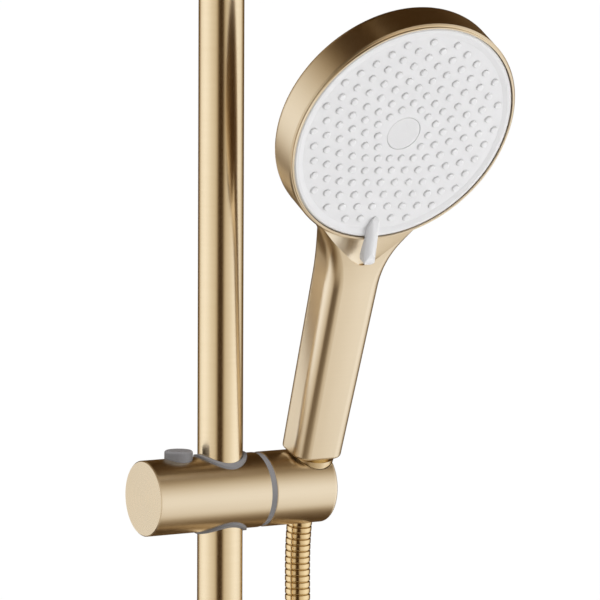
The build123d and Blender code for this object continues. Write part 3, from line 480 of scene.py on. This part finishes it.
def hose_line():
    """Closely spaced points of the smooth line that follows the hose's corners."""
    curve = bpy.data.curves.new("hose_line", "CURVE")
    curve.dimensions = "3D"
    spline = curve.splines.new("NURBS")
    spline.points.add(len(HOSE_ROUTE) - 1)
    for point, corner in zip(spline.points, HOSE_ROUTE):
        point.co = (*corner, 1)
    spline.order_u = 3
    spline.use_endpoint_u = True
    spline.resolution_u = 24
    carrier = bpy.data.objects.new("hose_line", curve)
    bpy.context.scene.collection.objects.link(carrier)
    line = bpy.data.meshes.new_from_object(carrier)
    points = np.array([v.co for v in line.vertices])
    bpy.data.objects.remove(carrier)
    bpy.data.curves.remove(curve)
    bpy.data.meshes.remove(line)
    return points


class HoseLine:
    """Position and direction by distance along the hose."""

    def __init__(self, points):
        steps = np.linalg.norm(np.diff(points, axis=0), axis=1)
        self.points = points
        self.far = np.concatenate([[0], np.cumsum(steps)])
        self.length = self.far[-1]

    def at(self, distance):
        return np.array([np.interp(distance, self.far, self.points[:, k]) for k in range(3)])

    def ahead(self, distance):
        reach = 0.004
        low = max(0.0, distance - reach)
        high = min(self.length, distance + reach)
        step = self.at(high) - self.at(low)
        return step / np.linalg.norm(step)


def hose_rows(hose, start, end):
    """(distance, radius) of every ring on one piece of the hose."""
    ribs = max(1, round((end - start) / hose.pitch))
    pitch = (end - start) / ribs
    rows = []
    for rib in range(ribs):
        for share, rise in RIB_PROFILE:
            rows.append((start + (rib + share) * pitch, hose.valley + rise * (hose.crest - hose.valley)))
    rows.append((end, hose.valley))
    return rows


def ribbed_tube(name, line, hose, start, end):
    """Closed ribbed tube along part of the hose line."""
    vertices = []
    faces = []
    sides = hose.sides
    rows = hose_rows(hose, start, end)
    for distance, radius in rows:
        centre = line.at(distance)
        ahead = line.ahead(distance)
        side = np.array((0.0, 1.0, 0.0))
        side -= ahead * side.dot(ahead)
        side /= np.linalg.norm(side)
        over = np.cross(ahead, side)
        for k in range(sides):
            turn = 2 * pi * k / sides
            vertices.append(centre + radius * (cos(turn) * side + sin(turn) * over))
    for row in range(len(rows) - 1):
        for k in range(sides):
            a = row * sides + k
            b = row * sides + (k + 1) % sides
            faces.append((a, b, b + sides, a + sides))
    last = (len(rows) - 1) * sides
    faces.append(tuple(reversed(range(sides))))
    faces.append(tuple(range(last, last + sides)))
    tube = new_piece(name, vertices, faces)
    # Faces at the groove steps take the second material: painted shade in the grooves, partly the strips' own
    # dark joint
    for face in tube.data.polygons:
        step = (face.index // sides) % len(RIB_PROFILE)
        face.material_index = int(step in GROOVE_STEPS)
    return tube


def new_piece(name, vertices, faces, smooth=True):
    """Mesh object in the scene."""
    mesh = bpy.data.meshes.new(name)
    mesh.from_pydata([tuple(v) for v in vertices], [], faces)
    mesh.update()
    if smooth:
        mesh.shade_smooth()
        mesh.set_sharp_from_angle(angle=radians(50))
    piece = bpy.data.objects.new(name, mesh)
    bpy.context.scene.collection.objects.link(piece)
    return piece


class SHOWER_OT_hose(Operator):
    """Lay the ribbed hose from the hand shower to the diverter."""

    bl_idname = "shower.hose"
    bl_label = "Hose"

    def execute(self, context):
        hose = context.scene.shower_hose
        finish = context.scene.shower_finish
        line = HoseLine(hose_line())
        strip = hose_strip(finish)
        # The groove material is darker gold: painted shade in the grooves, partly the dark joint between the
        # strips
        groove = brushed_metal("hose_groove_shade_and_joint", GROOVE_SHADE_AND_JOINT, GROOVE_SHADE_AND_JOINT_DEEP, roughness=0.2, across=(0, 0, 1),
                               lines=1800.0)
        pieces = [
            ("hose_at_nut", 0.0, HOSE_TOP_END, ("hose_end", "holder"), "hose_top"),
            ("hose_under_holder", HOSE_TOP_END, HOSE_MID_END, ("holder", "slider"), "hose_mid"),
            ("hose_falling_leg", HOSE_MID_END, HOSE_LEG_END, ("slider", "column"), "hose_lower"),
            ("hose_hanging_loop", HOSE_LEG_END, line.length, ("column",), "hose_lower"),
        ]
        for name, start, end, bodies, node in pieces:
            piece = ribbed_tube(name, line, hose, start, end)
            piece.data.materials.append(strip)
            piece.data.materials.append(groove)
            if len(bodies) == 2:
                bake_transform(piece)
            else:
                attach(piece, *bodies)
            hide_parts(node)
        return {"FINISHED"}


def hose_strip(finish):
    """Polished gold strip of the hose."""
    return brushed_metal("hose_strip", finish.hose, finish.hose_deep, finish.hose_roughness, (0, 0, 1),
                         lines=1800.0)


class SHOWER_OT_riser(Operator):
    """Finish the riser rail, overhead arm and wall bracket."""

    bl_idname = "shower.riser"
    bl_label = "Riser"

    def execute(self, context):
        finish = context.scene.shower_finish
        dress(gold(finish, "rail_gold", (0, 0, 1), lines=1300.0, depth=0.00001), "riser_rail")
        dress(gold(finish, "arm_gold", (0, 0.7, 0.7)), "overhead_arm")
        dress(satin(finish, "bracket_gold", (0, 1, 0)), "wall_bracket")
        turned_gold(finish, "bracket_cover_gold", "Y", "bracket_cover")
        dress(brass("turned_brass", (0, 0, 1)), "joining_sleeve", "arm_nipple")
        steel = brushed_metal("bright_steel", STEEL, STEEL_DEEP, roughness=0.3, across=(0, 1, 0))
        dress(steel, "wall_plate", "clamp_screw", "post_screw")
        dress(black_rubber(), "sleeve_o_rings")
        return {"FINISHED"}


def black_rubber():
    """Seal rubber, made once."""
    found = bpy.data.materials.get("seal_rubber")
    return found or moulded("seal_rubber", RUBBER, roughness=0.6, grain=1800.0)


class SHOWER_OT_slider(Operator):
    """Finish the sliding holder and what is inside it."""

    bl_idname = "shower.slider"
    bl_label = "Slider"

    def execute(self, context):
        finish = context.scene.shower_finish
        dress(satin(finish, "barrel_gold", (0, 0.7, 0.7)), "slider_body", "holder")
        turned_gold(finish, "end_cap_gold", "X", "slider_end_cap")
        grey = moulded("grey_satin_plastic", finish.grey, roughness=0.42)
        dress(grey, "rail_liner", "friction_ring", "release_button", "brake_plug", "button_shelf")
        steel = brushed_metal("spring_steel", SPRING_STEEL, SPRING_STEEL_DEEP, roughness=0.25,
                              across=(1, 0, 0))
        dress(steel, "brake_spring", "button_spring", "pivot_bolt", "spring_washer")
        return {"FINISHED"}


class SHOWER_OT_handset(Operator):
    """Finish the hand shower's shell and waterway."""

    bl_idname = "shower.handset"
    bl_label = "Hand shower"

    def execute(self, context):
        finish = context.scene.shower_finish
        dress(satin(finish, "shell_gold", LEAN_UP), "handset_shell")
        dress(gold(finish, "nut_gold", LEAN_UP), "cone_nut", "hose_ferrule")
        dress(brass("inlet_brass", LEAN_UP), "handset_nipple")
        inner = moulded("inner_plastic", INNER_PLASTIC, roughness=0.5)
        dress(inner, "handle_tube", "spray_chamber")
        dress(black_rubber(), "chamber_seal", "hose_washer")
        steel = brushed_metal("face_screw_steel", STEEL, STEEL_DEEP, roughness=0.3, across=(1, 0, 0))
        dress(steel, "face_screw")
        return {"FINISHED"}


class SHOWER_OT_spray_face(Operator):
    """Finish the white turning spray face, its jets and lever."""

    bl_idname = "shower.spray_face"
    bl_label = "Spray face"

    def execute(self, context):
        finish = context.scene.shower_finish
        white = moulded("white_face_plastic", finish.white, roughness=0.34, grain=1500.0, milky=0.5)
        dress(white, "spray_face", "centre_cap", "spray_lever")
        silicone = moulded("white_silicone", finish.white, roughness=0.48, grain=1500.0, milky=0.8)
        dress(silicone, "jet_mat")
        dress(moulded("jet_plate_plastic", INNER_PLASTIC, roughness=0.5), "jet_plate")
        return {"FINISHED"}


class SHOWER_OT_diverter(Operator):
    """Finish the lower diverter, its knob and the wall inlet."""

    bl_idname = "shower.diverter"
    bl_label = "Diverter"

    def execute(self, context):
        finish = context.scene.shower_finish
        dress(satin(finish, "diverter_gold", (0, 0.7, 0.7)), "diverter_body", "diverter_knob")
        turned_gold(finish, "inlet_cover_gold", "Y", "inlet_cover")
        dress(gold(finish, "outlet_gold", (0, 0, 1)), "hose_lower_nut", "hose_lower_ferrule")
        dress(brass("valve_brass", (1, 0, 0)), "inlet_nipple", "cartridge_nut", "diverter_spindle")
        dress(moulded("cartridge_plastic", INNER_PLASTIC, roughness=0.5), "diverter_cartridge")
        steel = brushed_metal("grub_steel", SPRING_STEEL, SPRING_STEEL_DEEP, roughness=0.3,
                              across=(0, 0, 1))
        dress(steel, "foot_screw", "knob_screw")
        dress(black_rubber(), "inlet_washer", "hose_lower_washer")
        return {"FINISHED"}


class SHOWER_OT_rain_head(Operator):
    """Finish the overhead rain head and its ball joint."""

    bl_idname = "shower.rain_head"
    bl_label = "Rain head"

    def execute(self, context):
        finish = context.scene.shower_finish
        turned_gold(finish, "rain_gold", "Z", "rain_cover", "rain_face")
        dress(gold(finish, "ball_gold", (0, 0, 1)), "ball_stem", "ball_collar")
        dress(moulded("rain_silicone", finish.white, roughness=0.5, grain=1500.0), "rain_jets")
        dress(black_rubber(), "ball_seal", "stem_washer")
        return {"FINISHED"}


# Stage

def look_matrix(stage):
    """Camera matrix from position, yaw, pitch and roll."""
    yaw, pitch, roll = stage.yaw, stage.pitch, stage.roll
    ahead = Vector((sin(yaw) * cos(pitch), cos(yaw) * cos(pitch), sin(pitch)))
    right = Vector((cos(yaw), -sin(yaw), 0))
    up = right.cross(ahead)
    right, up = right * cos(roll) + up * sin(roll), up * cos(roll) - right * sin(roll)
    matrix = Matrix((right, up, -ahead)).transposed().to_4x4()
    matrix.translation = Vector(stage.camera_at)
    return matrix


def make_camera(stage):
    """Camera at the photograph's viewing angle."""
    data = bpy.data.cameras.new("camera")
    data.sensor_width = 36.0
    data.lens = stage.lens
    data.clip_start = 0.05
    data.clip_end = 100.0
    camera = bpy.data.objects.new("camera", data)
    bpy.context.scene.collection.objects.link(camera)
    camera.matrix_world = look_matrix(stage)
    bpy.context.scene.camera = camera


def seen_ray(tree):
    """1 on rays that see the backdrop: camera, glossy and transmission."""
    path = add(tree, "ShaderNodeLightPath")
    straight = maths(tree, "MAXIMUM", path.outputs["Is Camera Ray"], path.outputs["Is Glossy Ray"])
    return maths(tree, "MAXIMUM", straight, path.outputs["Is Transmission Ray"])


def make_world(stage):
    """White where it is seen, even light elsewhere."""
    world = bpy.data.worlds.new("studio")
    bpy.context.scene.world = world
    world.use_nodes = True
    tree = world.node_tree
    tree.nodes.clear()
    seen = add(tree, "ShaderNodeBackground")
    seen.inputs["Strength"].default_value = 1.0
    seen.inputs["Color"].default_value = (1, 1, 1, 1)
    light = add(tree, "ShaderNodeBackground")
    light.inputs["Strength"].default_value = stage.sky
    light.inputs["Color"].default_value = (1, 1, 1, 1)
    mix = add(tree, "ShaderNodeMixShader")
    wire(tree, seen_ray(tree), mix.inputs["Fac"])
    wire(tree, light.outputs[0], mix.inputs[1])
    wire(tree, seen.outputs[0], mix.inputs[2])
    wire(tree, mix.outputs[0], add(tree, "ShaderNodeOutputWorld").inputs["Surface"])


def make_floor(stage):
    """Pale floor that keeps a faint shadow."""
    level = CAD_BOX[0].z - stage.floor_drop
    size = 30.0
    floor = new_piece("floor", [(-size, -size, level), (size, -size, level), (size, size, level),
                                (-size, size, level)], [(0, 1, 2, 3)], smooth=False)
    material, tree, shader = new_material("pale_floor")
    shader.inputs["Base Color"].default_value = (0.9, 0.9, 0.9, 1)
    shader.inputs["Roughness"].default_value = 0.9
    glow = add(tree, "ShaderNodeEmission")
    glow.inputs["Strength"].default_value = 1.06
    mix = add(tree, "ShaderNodeMixShader")
    wire(tree, maths(tree, "MULTIPLY", seen_ray(tree), FLOOR_WHITE), mix.inputs["Fac"])
    wire(tree, shader.outputs[0], mix.inputs[1])
    wire(tree, glow.outputs[0], mix.inputs[2])
    wire(tree, mix.outputs[0], tree.nodes["Material Output"].inputs["Surface"])
    floor.data.materials.append(material)
    return level


def level_from(table, value):
    """Level read between the rows of a table."""
    return np.interp(value, *zip(*table))


def tent_level(turn, rise, forward):
    """Brightness of the tent by degrees from the camera's side, degrees of rise and direction along Y."""
    away = max(0, abs(turn) - level_from(FLAG_SPREAD, rise))
    panel = level_from(TENT_BELT, away) * level_from(TENT_RISE, rise)
    share = level_from(FLOOR_BLEND, rise)
    return max(DARK_LEVEL, (1 - share) * panel + share * level_from(TENT_FLOOR, forward))


def make_tent(stage, floor_level):
    """Studio tent with soft panels and dark flags, seen only in reflections; dark parts are warm."""
    vertices = []
    colours = []
    for row in range(TENT_ROWS + 1):
        rise = -pi / 2 + pi * row / TENT_ROWS
        for column in range(TENT_COLUMNS):
            turn = -pi + 2 * pi * column / TENT_COLUMNS
            heading = turn - stage.yaw
            way = Vector((sin(heading) * cos(rise), -cos(heading) * cos(rise), sin(rise)))
            reach = TENT_R
            if way.z < 0:
                reach = min(reach, (floor_level + TENT_LIFT - SLIDER_AT.z) / way.z)
            vertices.append(SLIDER_AT + way * reach)
            level = tent_level(degrees(turn), degrees(rise), way.y)
            colours.extend((level ** WARM_RED, level, level ** WARM_BLUE, 1))
    faces = []
    for row in range(TENT_ROWS):
        for column in range(TENT_COLUMNS):
            a = row * TENT_COLUMNS + column
            b = row * TENT_COLUMNS + (column + 1) % TENT_COLUMNS
            faces.append((a, b, b + TENT_COLUMNS, a + TENT_COLUMNS))
    tent = new_piece("studio_tent", vertices, faces)
    layer = tent.data.attributes.new("panel", "FLOAT_COLOR", "POINT")
    layer.data.foreach_set("color", colours)
    material, tree, shader = new_material("studio_tent")
    glow = add(tree, "ShaderNodeEmission")
    panel = add(tree, "ShaderNodeAttribute", attribute_name="panel")
    wire(tree, panel.outputs["Color"], glow.inputs["Color"])
    wire(tree, glow.outputs[0], tree.nodes["Material Output"].inputs["Surface"])
    tree.nodes.remove(shader)
    tent.data.materials.append(material)
    tent.visible_camera = False
    tent.visible_diffuse = False
    tent.visible_shadow = False
    tent.visible_transmission = False


def make_light(name, watts, size, away):
    """Soft round light aimed at the slider, not itself mirrored in the metal."""
    lamp = bpy.data.lights.new(name, "AREA")
    lamp.energy = watts
    lamp.shape = "DISK"
    lamp.size = size
    light = bpy.data.objects.new(name, lamp)
    bpy.context.scene.collection.objects.link(light)
    light.location = SLIDER_AT + Vector(away)
    light.rotation_mode = "QUATERNION"
    light.rotation_quaternion = (-Vector(away)).to_track_quat("-Z", "Y")
    light.visible_glossy = False


class SHOWER_OT_stage(Operator):
    """Set up the camera, soft light, pale floor and studio tent."""

    bl_idname = "shower.stage"
    bl_label = "Stage"

    def execute(self, context):
        stage = context.scene.shower_stage
        context.scene.view_settings.view_transform = "Standard"
        make_camera(stage)
        make_world(stage)
        make_tent(stage, make_floor(stage))
        make_light("key", stage.key, KEY_SIZE, KEY_AWAY)
        make_light("top", stage.top, TOP_SIZE, TOP_AWAY)
        return {"FINISHED"}


class SHOWER_PT_panel(Panel):
    """Sidebar list of the shower column's steps."""

    bl_label = "Shower column"
    bl_idname = "SHOWER_PT_panel"
    bl_space_type = "VIEW_3D"
    bl_region_type = "UI"
    bl_category = "Shower"

    def draw(self, context):
        for step in STEPS:
            self.layout.operator(step.bl_idname)
        for place, kind in SETTINGS.items():
            for name in kind.__annotations__:
                self.layout.prop(getattr(context.scene, place), name)


STEPS = (SHOWER_OT_stage, SHOWER_OT_hose, SHOWER_OT_riser, SHOWER_OT_slider, SHOWER_OT_handset,
         SHOWER_OT_spray_face, SHOWER_OT_diverter, SHOWER_OT_rain_head)
SETTINGS = {"shower_finish": ShowerFinish, "shower_hose": ShowerHose, "shower_stage": ShowerStage}


def register():
    for kind in (*SETTINGS.values(), *STEPS, SHOWER_PT_panel):
        bpy.utils.register_class(kind)
    for name, kind in SETTINGS.items():
        setattr(bpy.types.Scene, name, PointerProperty(type=kind))


def unregister():
    for name in SETTINGS:
        delattr(bpy.types.Scene, name)
    for kind in reversed((*SETTINGS.values(), *STEPS, SHOWER_PT_panel)):
        bpy.utils.unregister_class(kind)


def main():
    register()
    bpy.ops.shower.stage()
    bpy.ops.shower.hose()
    bpy.ops.shower.riser()
    bpy.ops.shower.slider()
    bpy.ops.shower.handset()
    bpy.ops.shower.spray_face()
    bpy.ops.shower.diverter()
    bpy.ops.shower.rain_head()
    bpy.context.view_layer.update()


if __name__ == "__main__":
    main()
